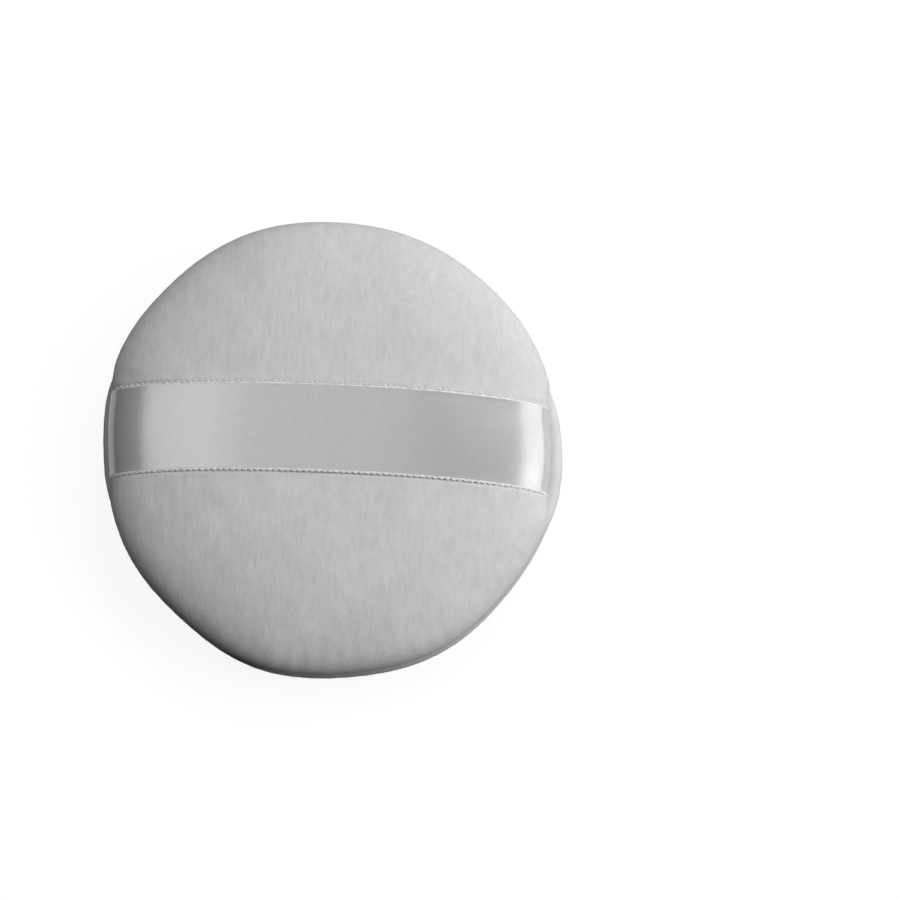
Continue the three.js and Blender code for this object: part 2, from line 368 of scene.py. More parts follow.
def grid_normals(points):
    """Outward normals of a grid of rings that starts at the crown's middle."""
    along = np.gradient(points, axis=0)
    around = (np.roll(points, -1, axis=1) - np.roll(points, 1, axis=1)) / 2
    normals = np.cross(along, around)
    length = np.linalg.norm(normals, axis=-1, keepdims=True)
    return normals / np.maximum(length, OFF_ZERO)


def angles_round(count):
    return np.arange(count) / count * FULL_TURN


# The pad's surfaces

def rim_share(angle):
    """The rim's distance from the axis at an angle, as a share of the pad's radius."""
    return 1 + sum(share * np.cos(count * (angle - math.radians(crest)))
                   for count, share, crest in RIM_WAVE_SHARES)


def middle_line(x):
    """The y of the ribbon's middle line."""
    return RIBBON_OFFSET - RIBBON_BOW * (x / PAD_RADIUS) ** 2


def end_pull(angle):
    """How much of the pull of a ribbon's sewn-in end is felt at an angle, from 0 to 1."""
    beside = np.abs(PAD_RADIUS * np.sin(angle) - middle_line(PAD_RADIUS))
    faded = np.clip((beside - END_HOLD_WIDTH / 2) / END_FADE_REACH, 0, 1)
    return np.cos(QUARTER_TURN * faded) ** 2


def ring_radius(angle, radius, side=1):
    """The distance from the axis, at an angle, of a ring round the pad. The ribbon's ends draw
    the back's rim in, and the face bulges out there."""
    draw = np.where(np.cos(angle) > 0, RIBBON_END_DRAW_RIGHT, RIBBON_END_DRAW_LEFT)
    shift = -draw if side > 0 else FACE_END_PUSH
    return radius * rim_share(angle) + shift * end_pull(angle) * (radius / PAD_RADIUS) ** PULL_POWER


def crown_point(angle, tilt, crown, away=0, side=1):
    """Radius, and height off the seam, of a point on a crown. tilt is 0 at its middle and a
    quarter turn at the rim, away is the distance off the surface, side is 1 for the back."""
    rise = crown - CROWN_BASE
    outward = rise * np.sin(tilt) ** (2 - 2 / CROWN_POWER)
    upward = PAD_RADIUS * (2 / CROWN_POWER) * np.cos(tilt)
    length = np.hypot(outward, upward)
    radius = ring_radius(angle, PAD_RADIUS * np.sin(tilt) ** (2 / CROWN_POWER), side)
    return radius + away * outward / length, CROWN_BASE + rise * np.cos(tilt) + away * upward / length


def tilt_at_share(share):
    """The tilt at a share of the pad's radius."""
    return np.arcsin(np.clip(share, 0, 1) ** (CROWN_POWER / 2))


def tilt_under(angle, distance):
    """The tilt at which a point over the back's crown stands."""
    share = distance / PAD_RADIUS
    for _ in range(TILT_ROUNDS):
        share = share * distance / np.maximum(ring_radius(angle, PAD_RADIUS * share), OFF_ZERO)
    return tilt_at_share(share)


def even_tilts(crown, count):
    """Tilts from the crown's middle to the rim that are evenly spaced along its curve."""
    fine = tilt_at_share(np.sin(np.linspace(0, QUARTER_TURN, FINE_STEPS)))
    rise = crown - CROWN_BASE
    radius = PAD_RADIUS * np.sin(fine) ** (2 / CROWN_POWER)
    steps = np.hypot(np.diff(radius), rise * np.diff(np.cos(fine)))
    reach = np.concatenate([[0], np.cumsum(steps)])
    return np.interp(np.linspace(0, reach[-1], count + 1), reach, fine)


def crown_rings(side, crown, count, around, away=0):
    """Angles, radius and height of rings on a crown, from its middle to the rim."""
    angles = angles_round(around)
    return angles, *crown_point(angles, even_tilts(crown, count)[1:, None], crown, away, side)


def off_ribbon(points):
    """How far points lie beside the ribbon's edges, negative where the ribbon covers them."""
    return np.abs(points[..., 1] - middle_line(points[..., 0])) - RIBBON_WIDTH / 2


def beside_ribbon_end(angle):
    """1 at the two places of the rim where the ribbon goes into the seam, else 0."""
    line = PAD_RADIUS * np.sin(angle) - middle_line(PAD_RADIUS)
    return 1 - smooth_step((np.abs(line) - RIBBON_WIDTH / 2) / RIBBON_END_REACH)


def sink_depth(points):
    """How deep the ribbon is drawn into the pad, most where it bends down to the seam."""
    outward = np.abs(points[..., 0]) / PAD_RADIUS
    toward_end = smooth_step((outward - SINK_START_SHARE) / SINK_REACH_SHARE)
    return RIBBON_MIDDLE_SINK + (RIBBON_SINK - RIBBON_MIDDLE_SINK) * toward_end


def soft_min(a, b, softness):
    """The smaller of two values, rounded over where they are close."""
    blend = np.clip((1 + (b - a) / softness) / 2, 0, 1)
    return b + (a - b) * blend - softness * blend * (1 - blend)


# Meshes

def ring_quads(ring_count, around, first=0):
    """Quads between neighbouring rings. They face up where the rings grow outwards."""
    ring, step = np.meshgrid(np.arange(ring_count - 1), np.arange(around), indexing="ij")
    here = first + ring * around + step
    beside = first + ring * around + (step + 1) % around
    return np.stack([here, here + around, beside + around, beside], axis=-1).reshape(-1, 4).tolist()


def fan(pole, ring_start, around, facing):
    """Triangles from a pole to a ring, facing up for 1 and down for -1."""
    pairs = [[ring_start + step, ring_start + (step + 1) % around] for step in range(around)]
    return [[pole, *pair[::facing]] for pair in pairs]


def closed_rings(rings):
    """Points and faces of a closed skin: a pole, its rings and a second pole."""
    ring_count, around, _ = rings.shape
    poles = np.stack([rings[0].mean(axis=0), rings[-1].mean(axis=0)])
    points = np.concatenate([rings.reshape(-1, 3), poles])
    first_pole = ring_count * around
    faces = ring_quads(ring_count, around)
    faces += fan(first_pole, 0, around, 1)
    faces += fan(first_pole + 1, first_pole - around, around, -1)
    return points, faces


def make_piece(name, points, faces, material):
    mesh = bpy.data.meshes.new(name)
    mesh.from_pydata(np.asarray(points).tolist(), [], faces)
    mesh.validate()
    mesh.shade_smooth()
    mesh.materials.append(material)
    piece = bpy.data.objects.new(name, mesh)
    bpy.context.scene.collection.objects.link(piece)
    return piece


def sided_piece(name, points, faces, side, material):
    """A piece from points off the seam: above it for 1, mirrored for -1, never under the floor."""
    points = points * [1, 1, side] + [0, 0, SEAM_HEIGHT]
    if side < 0:
        points[:, 2] = np.maximum(points[:, 2], 0)
        faces = [face[::-1] for face in faces]
    return make_piece(name, points, faces, material)


def turned_piece(name, rings, side, material):
    """A closed piece from rings that run from the outer pole over the rim to the inner pole."""
    points, faces = closed_rings(rings)
    return sided_piece(name, points, faces, side, material)


# Cloth simulation: the two covers are blown up together against their sewn rim

def plain_crown(side, crown):
    """Slightly uneven rings on a cover's plain crown, and their normals."""
    grid = placed(*crown_rings(side, crown, SIM_RINGS, SIM_AROUND))
    normals = grid_normals(grid)
    grid = grid + normals * SIM_UNEVENNESS * smooth_noise(grid, SWELL_SIZE, SIM_SEED)[..., None]
    return grid * [1, 1, side], normals * [1, 1, side]


def blown_up(rings):
    """The rings of both covers once they have been blown up as one bag, sewn at the middle ring."""
    points, faces = closed_rings(rings)
    blank = bpy.data.materials.new("simulation")
    bag = make_piece("simulation", points * SIM_SCALE, faces, blank)
    pins = bag.vertex_groups.new(name="seam")
    pins.add(list(range(SIM_RINGS * SIM_AROUND, (SIM_RINGS + 1) * SIM_AROUND)), 1, "REPLACE")
    cloth = bag.modifiers.new("cloth", "CLOTH")
    cloth.settings.vertex_group_mass = pins.name
    cloth.settings.mass = SIM_MASS
    cloth.settings.use_pressure = True
    cloth.settings.uniform_pressure_force = SIM_PRESSURE
    cloth.settings.shrink_min = SIM_SHRINK_SHARE
    cloth.settings.bending_stiffness = SIM_BENDING
    cloth.settings.effector_weights.gravity = 0
    cloth.point_cache.frame_start = 1
    cloth.point_cache.frame_end = SIM_FRAMES
    scene = bpy.context.scene
    for number in range(1, SIM_FRAMES + 1):
        scene.frame_set(number)
    settled = bag.evaluated_get(bpy.context.evaluated_depsgraph_get()).data
    moved = np.zeros(points.size)
    settled.vertices.foreach_get("co", moved)
    bpy.data.objects.remove(bag)
    bpy.data.materials.remove(blank)
    scene.frame_set(1)
    return moved[: rings.size].reshape(rings.shape) / SIM_SCALE


def simulated_relief():
    """How far each cover stands off its plain crown, as a grid of rings for back and face."""
    covers = [plain_crown(1, BACK_CROWN), plain_crown(-1, FACE_CROWN)]
    angles = angles_round(SIM_AROUND)
    seam = placed(angles, PAD_RADIUS * rim_share(angles), 0)[None]
    moved = blown_up(np.concatenate([covers[0][0], seam, covers[1][0][::-1]]))
    reliefs = []
    for (grid, normals), part in zip(covers, (moved[:SIM_RINGS], moved[SIM_RINGS + 1:][::-1])):
        relief = np.sum((part - grid) * normals, axis=-1)
        reliefs.append(softened(relief - relief.mean(axis=1, keepdims=True)))
    return reliefs


def softened(relief):
    """Leaves the broad waves of a grid of rings. The pile hides the finer folds."""
    for _ in range(SIM_SOFTENING):
        relief = (np.roll(relief, 1, axis=1) + 2 * relief + np.roll(relief, -1, axis=1)) / 4
        inner, outer = relief[[0, *range(len(relief) - 1)]], relief[[*range(1, len(relief)), -1]]
        relief = (inner + 2 * relief + outer) / 4
    return relief


def spread_relief(relief, ring_shares, angles):
    """Takes the simulated relief to the finer rings of a cover and limits it."""
    ring = np.clip(ring_shares * SIM_RINGS - 1, 0, SIM_RINGS - 1 - SIM_LAST_RING_MARGIN)
    low = np.floor(ring).astype(int)
    part = (ring - low)[:, None]
    step = angles / FULL_TURN * SIM_AROUND
    left = np.floor(step).astype(int)
    across = smooth_step(step - left)[None, :]
    right = (left + 1) % SIM_AROUND
    spread = relief[:, left] * (1 - across) + relief[:, right] * across
    off_middle = smooth_step(ring_shares / CLOTH_CALM_SHARE - 1)[:, None]
    blended = (spread[low] * (1 - part) + spread[low + 1] * part) * off_middle
    return CLOTH_LIMIT * np.tanh(blended / CLOTH_LIMIT)


# Covers

def velour_relief(points, ring_shares, angles):
    """How far the velour stands off the plain crown, before the simulated part."""
    relief = NAP_RELIEF * smooth_noise(points * NAP_STRETCH_SHARES, NAP_SIZE, NAP_SEED)
    relief = relief + CLUMP_RELIEF * smooth_noise(points, CLUMP_SIZE, CLUMP_SEED)
    relief = relief + SWELL_RELIEF * smooth_noise(points, SWELL_SIZE, SWELL_SEED)
    near_rim = smooth_step((ring_shares - PUCKER_START_SHARE) / PUCKER_REACH_SHARE)[:, None]
    uneven = PUCKER_UNEVEN_SHARE * smooth_noise(points, SWELL_SIZE, PUCKER_SEED)
    pucker = PUCKER_RELIEF * np.cos(PUCKER_COUNT * angles)[None, :]
    return relief + near_rim * (1 - PUCKER_UNEVEN_SHARE + uneven) * pucker


def pressed_flat(points, relief):
    """The relief of the back with the velour under the ribbon pressed down and flat."""
    beside = off_ribbon(points)
    covered = 1 - smooth_step((beside + PICOT_REACH / 2 + PRESS_EDGE / 2) / PRESS_EDGE)
    ridge = PRESS_RIDGE * np.exp(-((beside - PRESS_EDGE) / PRESS_EDGE) ** 2)
    kept = relief * (1 - PRESS_FLATTEN_SHARE * covered)
    return kept - (PRESS_DEPTH + sink_depth(points)) * covered + ridge


def cover_surface(side, crown, level, relief):
    """The outside of a cover as rings from its middle to the rim, and their angles."""
    angles, radius, height = crown_rings(side, crown, CROWN_RINGS, AROUND)
    ring_shares = np.arange(1, CROWN_RINGS + 1) / CROWN_RINGS
    points = placed(angles, radius, soft_min(height, level, REST_FLAT_SOFTNESS))
    normals = grid_normals(points)
    standing = velour_relief(points, ring_shares, angles)
    if relief is not None:
        standing = standing + spread_relief(relief, ring_shares, angles)
    if side > 0:
        standing = pressed_flat(points, standing)
    near_rim = smooth_step((ring_shares - 1 + RIM_CALM_SHARE) / RIM_CALM_SHARE)[:, None]
    standing = standing * (1 - near_rim * RIM_CALM_DEPTH_SHARE)
    return angles, points + normals * standing[..., None]


def cover_piece(name, side, crown, level, relief, material):
    """A cover as a closed shell: crown, fold, turned-in allowance and inside wall."""
    angles, outside = cover_surface(side, crown, level, relief)
    rim = np.linalg.norm(outside[-1, :, :2], axis=-1)
    half_gap = SEAM_HALF_GAP + (RIBBON_SEAM_HALF_GAP - SEAM_HALF_GAP) * beside_ribbon_end(angles)
    fold_radius = outside[-1, :, 2] - half_gap
    turns = np.linspace(0, QUARTER_TURN, FOLD_RINGS + 1)[1:, None]
    fold_reach = rim - fold_radius * (1 - np.cos(turns))
    fold = placed(angles, fold_reach, half_gap + fold_radius * (1 - np.sin(turns)))
    allowance_end = ring_radius(angles, PAD_RADIUS - SEAM_ALLOWANCE, side)
    allowance = placed(angles, allowance_end, half_gap)[None]
    lip = placed(angles, allowance_end, half_gap + COVER_THICKNESS)[None]
    _, inner_radius, inner_height = crown_rings(side, crown, INNER_RINGS, AROUND, -COVER_THICKNESS)
    inside = placed(angles, inner_radius, np.minimum(inner_height, level - COVER_THICKNESS))[::-1]
    rings = np.concatenate([outside, fold, allowance, lip, inside])
    return turned_piece(name, rings, side, material), outside


# Pile: short fibres that stand out of the velour

def pile_roots(outside, random):
    """Spots spread evenly over a cover's outside, and the upright direction at each."""
    normals = grid_normals(outside)
    along = np.linalg.norm(np.gradient(outside, axis=0), axis=-1)
    around = np.linalg.norm(np.roll(outside, -1, axis=1) - outside, axis=-1)
    weight = (along * around).reshape(-1)
    spots = random.choice(len(weight), PILE_COUNT, p=weight / weight.sum())
    ring, step = np.unravel_index(spots, outside.shape[:2])
    next_step = (step + 1) % outside.shape[1]
    next_ring = np.minimum(ring + 1, outside.shape[0] - 1)
    a, b = random.random((2, PILE_COUNT, 1))
    here = outside[ring, step] * (1 - a) + outside[ring, next_step] * a
    beyond = outside[next_ring, step] * (1 - a) + outside[next_ring, next_step] * a
    return here * (1 - b) + beyond * b, normals[ring, step]


def blade_points(roots, upright, random):
    """The points of each blade: two at its root, two at its bend and one at its tip."""
    spread = (len(roots), 3)
    nap = np.array(PILE_NAP_SHARES) + random.normal(0, PILE_SPREAD_SHARE, spread)
    lean = unit(upright * PILE_UPRIGHT_SHARE + nap)
    tip_lean = unit(upright * PILE_TIP_UPRIGHT_SHARE + nap)
    length = random.uniform(PILE_SHORTEST, PILE_LONGEST, (len(roots), 1))
    turned = upright + random.normal(0, PILE_TURN_SHARE, spread)
    across = unit(np.cross(lean, turned)) * PILE_WIDTH / 2
    root = roots - upright * PILE_ROOT_DEPTH
    middle = root + lean * length * PILE_BEND_SHARE
    tip = middle + tip_lean * length * (1 - PILE_BEND_SHARE)
    return np.stack([root - across, root + across, middle - across, middle + across, tip], axis=1)


def pile_piece(name, outside, side, seed, material):
    """Fine bent blades all over a cover's outside, apart from where the ribbon lies."""
    random = np.random.default_rng(seed)
    roots, upright = pile_roots(outside, random)
    if side > 0:
        free = off_ribbon(roots) > PILE_RIBBON_MARGIN
        roots, upright = roots[free], upright[free]
    blades = blade_points(roots, upright, random)
    first = np.arange(len(blades))[:, None] * blades.shape[1]
    faces = (first + [0, 1, 3, 2]).tolist() + (first + [2, 3, 4]).tolist()
    piece = sided_piece(name, blades.reshape(-1, 3), faces, side, material)
    shade_with_cloth(piece, upright * [1, 1, side])
    return piece


def shade_with_cloth(piece, upright):
    """Shades each blade mostly like the cloth that it stands on, so that no single blade glints."""
    own = np.zeros(len(piece.data.vertices) * 3)
    piece.data.vertices.foreach_get("normal", own)
    own = own.reshape(-1, 3)
    cloth = np.repeat(upright, len(own) // len(upright), axis=0)
    shading = unit(cloth + (own - cloth) * PILE_OWN_SHADING_SHARE)
    piece.data.normals_split_custom_set_from_vertices(shading.tolist())


# Ribbon

def crossing(side, across, station, away):
    """Where a lengthwise line of the ribbon crosses a ring round the pad."""
    angle = np.zeros_like(across) if side > 0 else np.full_like(across, HALF_TURN)
    for _ in range(CROSSING_ROUNDS):
        radius, height = station(angle, away)
        turn = np.arcsin((across + middle_line(radius * np.cos(angle))) / radius)
        angle = turn if side > 0 else HALF_TURN - turn
    radius, height = station(angle, away)
    return placed(angle, radius, height)


def on_crown(x, across, away):
    """A point of the ribbon's free span over the crown."""
    y = across + middle_line(x)
    angle = np.arctan2(y, x)
    tilt = tilt_under(angle, np.hypot(x, y))
    radius, height = crown_point(angle, tilt, BACK_CROWN, away)
    return placed(angle, radius, height)


def sewn_stations():
    """Rings that the ribbon's sewn-in end passes: down the shoulder, round the fold, into the seam."""
    fold_radius = CROWN_BASE - RIBBON_THICKNESS - RIBBON_LIFT_OFF

    def on_shoulder(tilt):
        def station(angle, away):
            return crown_point(angle, tilt, BACK_CROWN, away)
        return station

    def round_fold(turn):
        def station(angle, away):
            radius = ring_radius(angle, PAD_RADIUS - fold_radius * (1 - np.cos(turn)))
            return radius + away * np.cos(turn), CROWN_BASE - (fold_radius + away) * np.sin(turn)
        return station

    def tucked(share):
        def station(angle, away):
            inset = fold_radius + (SEAM_ALLOWANCE - fold_radius) * share
            return ring_radius(angle, PAD_RADIUS - inset), CROWN_BASE - fold_radius - away
        return station

    tilts = np.linspace(tilt_at_share(SPAN_END_SHARE), QUARTER_TURN, SHOULDER_ROWS + 1)
    stations = [on_shoulder(tilt) for tilt in tilts]
    stations += [round_fold(turn) for turn in np.linspace(0, QUARTER_TURN, EDGE_ROWS + 1)[1:]]
    stations += [tucked(share) for share in np.linspace(0, 1, TUCK_ROWS + 1)[1:]]
    return stations


def ribbon_rows(side, across, away):
    """Points along one half of the ribbon, from its middle to its sewn-in end.
    across has one value per lengthwise line, away one or as many."""
    stations = sewn_stations()
    across = np.asarray(across, float)
    away = np.broadcast_to(away, (SPAN_ROWS + len(stations), len(across)))
    end = crossing(side, across, stations[0], 0)[:, 0]
    rows = []
    for row in range(SPAN_ROWS):
        rows.append(on_crown(end * row / SPAN_ROWS, across, away[row]))
    for row, station in enumerate(stations):
        rows.append(crossing(side, across, station, away[SPAN_ROWS + row]))
    return np.stack(rows)


def band_columns():
    """Places across the band, closer together in the selvedges."""
    plain = BAND_HALF_WIDTH - SELVEDGE_WIDTH
    left = np.linspace(-BAND_HALF_WIDTH, -plain, SELVEDGE_COLUMNS, endpoint=False)
    middle = np.linspace(-plain, plain, RIBBON_COLUMNS)
    return np.concatenate([left, middle, -left[::-1]])


def band_heights(side, across):
    """Heights of the ribbon's two skins off the pad: selvedges a little proud, slow waves."""
    in_edge = (BAND_HALF_WIDTH - np.abs(across)) / SELVEDGE_WIDTH
    selvedge = SELVEDGE_RISE * np.sin(HALF_TURN * np.clip(in_edge, 0, 1)) ** 2
    level = ribbon_rows(side, across, 0)
    fade = smooth_step((PAD_RADIUS - np.abs(level[..., 0])) / PAD_RADIUS / WAVE_FADE_SHARE)
    wave = smooth_noise(level * WAVE_STRETCH_SHARES, RIBBON_WAVE_LENGTH, WAVE_SEED)
    ripple_length = RIBBON_WAVE_LENGTH / RIPPLES_PER_WAVE
    ripple = smooth_noise(level * RIPPLE_STRETCH_SHARES, ripple_length, RIPPLE_SEED) / RIPPLES_PER_WAVE
    sink = sink_depth(level)
    turns = np.linspace(0, QUARTER_TURN, EDGE_ROWS + 1)[1:, None]
    sink[-TUCK_ROWS - EDGE_ROWS:-TUCK_ROWS] = RIBBON_SINK * np.cos(turns)
    sink[-TUCK_ROWS:] = 0
    lift = RIBBON_LIFT_OFF + RIBBON_WAVE * (1 + wave + ripple) * fade - sink
    return lift, lift + RIBBON_THICKNESS + selvedge


def picot_loops(side):
    """Small thread loops along both edges of one half of the ribbon."""
    kept_rows = SPAN_ROWS + SHOULDER_ROWS + EDGE_ROWS - LOOPLESS_ROWS
    swing = np.linspace(0, HALF_TURN, LOOP_STEPS)
    rise_shares = np.sin(swing)[:, None]
    reach_shares = rise_shares * PICOT_REACH_SHARE - PICOT_ROOT_SHARE

    def at(line, places):
        return np.stack([np.interp(places, along, line[:, axis]) for axis in range(3)], axis=1)

    points, faces = [], []
    for edge in (-1, 1):
        lift, _ = band_heights(side, np.array([edge * BAND_HALF_WIDTH]))
        height = lift + RIBBON_THICKNESS / 2
        root = ribbon_rows(side, [edge * BAND_HALF_WIDTH], height)[:kept_rows, 0]
        out = ribbon_rows(side, [edge * (BAND_HALF_WIDTH + PICOT_REACH)], height)[:kept_rows, 0]
        above = ribbon_rows(side, [edge * BAND_HALF_WIDTH], height + PICOT_RISE)[:kept_rows, 0]
        along = line_reach(root)
        for number in range(int(along[-1] / PICOT_PITCH)):
            places = (number + MIDDLE_SHARE - np.cos(swing) * PICOT_SPREAD_SHARE) * PICOT_PITCH
            inner = at(root, places)
            outward = at(out, places) - inner
            upward = at(above, places) - inner
            line = inner + outward * reach_shares + upward * rise_shares
            add_tube(points, faces, line, PICOT_THREAD_RADIUS)
    return points, faces


def add_tube(points, faces, line, radius):
    """Adds a round thread along a line, closed at both ends."""
    ahead = unit(np.gradient(line, axis=0))
    beside = unit(np.cross(ahead, TUBE_UPWARD))
    above = np.cross(beside, ahead)
    turns = angles_round(TUBE_SIDES)[:, None]
    ring = beside[:, None] * np.cos(turns) + above[:, None] * np.sin(turns)
    tube = line[:, None] + radius * ring
    first = len(points)
    points.extend(tube.reshape(-1, 3).tolist())
    faces.extend([face[::-1] for face in ring_quads(len(line), TUBE_SIDES, first)])
    last = first + (len(line) - 1) * TUBE_SIDES
    faces.append(list(range(first, first + TUBE_SIDES))[::-1])
    faces.append(list(range(last, last + TUBE_SIDES)))


def band_faces(rows, columns, side):
    """Quads of the band: its two skins, its two long edges and its two ends."""
    skin = rows * columns
    faces = []

    def quad(*corners):
        faces.append(list(corners) if side > 0 else list(corners)[::-1])

    for row in range(rows - 1):
        for column in range(columns - 1):
            here = row * columns + column
            quad(here, here + columns, here + columns + 1, here + 1)
            quad(skin + here, skin + here + 1, skin + here + columns + 1, skin + here + columns)
        start = row * columns
        end = start + columns - 1
        quad(start, skin + start, skin + start + columns, start + columns)
        quad(end, end + columns, skin + end + columns, skin + end)
    for column in range(columns - 1):
        here = (rows - 1) * columns + column
        quad(column, column + 1, skin + column + 1, skin + column)
        quad(here, skin + here, skin + here + 1, here + 1)
    return faces


def lay_out_flat(piece, outer, across, loop_point_count):
    """Gives the band its flat coordinates in ribbon widths. The loops count as edge."""
    rows, columns = outer.shape[:2]
    reach = line_reach(outer[:, columns // 2])
    flat = np.stack([np.repeat(reach, columns), np.tile(across, rows)], axis=1)
    flat = flat / RIBBON_WIDTH + [0, MIDDLE_SHARE]
    flat = np.concatenate([flat, flat, np.zeros((loop_point_count, 2))])
    uv = piece.data.uv_layers.new(name=FLAT_MAP)
    corners = np.zeros(len(piece.data.loops), np.int32)
    piece.data.loops.foreach_get("vertex_index", corners)
    uv.data.foreach_set("uv", flat[corners].reshape(-1))


def ribbon_half(name, side, material):
    """One half of the ribbon: a thin closed band with selvedges, and its picot loops."""
    across = band_columns()
    lift, top = band_heights(side, across)
    outer = ribbon_rows(side, across, top)
    inner = ribbon_rows(side, across, lift)
    band_points = np.concatenate([outer.reshape(-1, 3), inner.reshape(-1, 3)])
    loop_points, loop_faces = picot_loops(side)
    faces = band_faces(*outer.shape[:2], side)
    faces.extend([[corner + len(band_points) for corner in face] for face in loop_faces])
    points = np.concatenate([band_points, loop_points]) + [0, 0, SEAM_HEIGHT]
    piece = make_piece(name, points, faces, material)
    lay_out_flat(piece, outer, across, len(loop_points))
    piece.data.set_sharp_from_angle(angle=SHARP_FROM)
    return piece


# Threads

def twisted_thread(name, line, material):
    """A two-ply thread along a line."""
    ahead = unit(np.gradient(line, axis=0))
    beside = unit(np.cross(ahead, [0, 0, 1]))
    above = np.cross(beside, ahead)
    turn = line_reach(line) / THREAD_TWIST_PITCH * FULL_TURN
    points, faces = [], []
    for start in (0, HALF_TURN):
        cosine = np.cos(turn + start)[:, None]
        sine = np.sin(turn + start)[:, None]
        add_tube(points, faces, line + PLY_RADIUS * (beside * cosine + above * sine), PLY_RADIUS)
    return make_piece(name, points, faces, material)


def rim_line(start, end, inset, height_at):
    """Points round the rim, close enough for the thread's twist."""
    length = (end - start) * PAD_RADIUS
    count = int(length / THREAD_TWIST_PITCH * THREAD_STEPS_PER_TURN)
    angles = np.linspace(start, end, count)
    along = np.linspace(0, length, count)
    radius = ring_radius(angles, PAD_RADIUS - inset)
    return placed(angles, radius, SEAM_HEIGHT + height_at(along))


def rim_seam(name, start, end, material):
    """One arc of the seam thread, waving a little with its stitches."""
    def stitches(along):
        return SEAM_STITCH_SWING * np.sin(along / SEAM_STITCH_LENGTH * FULL_TURN)
    return twisted_thread(name, rim_line(start, end, SEAM_INSET, stitches), material)


def seam_arcs():
    """Where the rim seam's arcs start and end, clear of the ribbon's ends and the turning gap."""
    ribbon_half_turn = (RIBBON_WIDTH / 2 + CLEARANCE) / PAD_RADIUS
    ribbon_turn = (RIBBON_OFFSET - RIBBON_BOW) / PAD_RADIUS
    gap_turn = (CLOSING_GAP_LENGTH / 2 + CLEARANCE) / PAD_RADIUS
    return {
        "front": (-HALF_TURN + ribbon_half_turn - ribbon_turn, -ribbon_half_turn + ribbon_turn),
        "rear_left": (QUARTER_TURN + gap_turn, HALF_TURN - ribbon_half_turn - ribbon_turn),
        "rear_right": (ribbon_half_turn + ribbon_turn, QUARTER_TURN - gap_turn),
    }


def closing_ladder(name, material):
    """Hand stitches that cross the groove between the folds, up and down by turns."""
    def ladder(along):
        wave = np.sin(along / CLOSING_STITCH_LENGTH * HALF_TURN)
        return CLOSING_STITCH_SWING * np.tanh(wave * LADDER_STEEPNESS) / np.tanh(LADDER_STEEPNESS)
    half_gap_turn = CLOSING_GAP_LENGTH / 2 / PAD_RADIUS
    start = QUARTER_TURN - half_gap_turn
    end = QUARTER_TURN + half_gap_turn
    return twisted_thread(name, rim_line(start, end, CLOSING_STITCH_DEPTH, ladder), material)


# Filling

def foam_piece(name, material):
    """A round disc squeezed round at its rim, with an open-celled skin."""
    angles = angles_round(INNER_AROUND)
    tilt = tilt_at_share(np.linspace(0, 1, INNER_RINGS * 2 + 1)[1:, None] ** FOAM_RING_POWER)
    radius = ring_radius(angles, FOAM_RADIUS * np.sin(tilt) ** (2 / CROWN_POWER))
    top = placed(angles, radius, FOAM_HALF_HEIGHT * np.cos(tilt))
    rings = np.concatenate([top, top[:-1][::-1] * [1, 1, -1]])
    cells = smooth_noise(rings, FOAM_CELL, FOAM_SEED) - 1
    rings = rings + grid_normals(rings) * (FOAM_SKIN * cells)[..., None]
    return turned_piece(name, rings, 1, material)


def wadding_piece(name, side, crown, level, material):
    """A layer of fibre that fills the cover and takes the foam in its hollow."""
    away = -COVER_THICKNESS - CLEARANCE
    angles, radius, height = crown_rings(side, crown, INNER_RINGS * 2, INNER_AROUND, away)
    outer = placed(angles, radius, np.minimum(height, level + away))
    tufts = smooth_noise(outer, WADDING_TUFT, WADDING_SEED) - 1
    outer = outer + grid_normals(outer) * (WADDING_SKIN * tufts)[..., None]
    hollow_crown = FOAM_HALF_HEIGHT + CLEARANCE
    lip = math.acos(min(1, (CROWN_BASE + CLEARANCE) / hollow_crown))
    tilt = np.linspace(lip, 0, INNER_RINGS + 1)[:-1, None]
    reach = (FOAM_RADIUS + CLEARANCE) * np.sin(tilt) ** (2 / CROWN_POWER)
    hollow = placed(angles, ring_radius(angles, reach, side), hollow_crown * np.cos(tilt))
    return turned_piece(name, np.concatenate([outer, hollow]), side, material)


# Parts of materials

def feed(tree, node, inputs):
    """Sets a node's inputs, each to a value or by a link from another node's output."""
    for socket, value in inputs.items():
        if isinstance(value, bpy.types.NodeSocket):
            tree.links.new(value, node.inputs[socket])
        else:
            node.inputs[socket].default_value = value


def new_node(tree, kind, inputs):
    node = tree.nodes.new(kind)
    feed(tree, node, inputs)
    return node


def new_material(name, settings):
    """A material whose shader has the given settings."""
    material = bpy.data.materials.new(name)
    material.use_nodes = True
    tree = material.node_tree
    shader = tree.nodes["Principled BSDF"]
    feed(tree, shader, settings)
    return material, tree, shader


def noise_field(tree, size, stretch=(1, 1, 1), detail=2, source="Object", wander=0):
    """Noise whose features have about the given size, longer where stretch is smaller, and bent
    out of line by wander."""
    place = new_node(tree, "ShaderNodeTexCoord", {}).outputs[source]
    scale = [part / size for part in stretch]
    mapping = new_node(tree, "ShaderNodeMapping", {"Vector": place, "Scale": scale})
    look = {"Vector": mapping.outputs["Vector"], "Scale": 1, "Detail": detail, "Distortion": wander}
    return new_node(tree, "ShaderNodeTexNoise", look).outputs["Fac"]


def tone(tree, field, tones, span=PLAIN_SPAN_SHARES):
    """Turns a field into a colour between a dark and a light tone."""
    ramp = new_node(tree, "ShaderNodeValToRGB", {"Fac": field})
    for element, colour, place in zip(ramp.color_ramp.elements, tones, span):
        element.position = place
        element.color = (*colour, 1)
    return ramp.outputs["Color"]


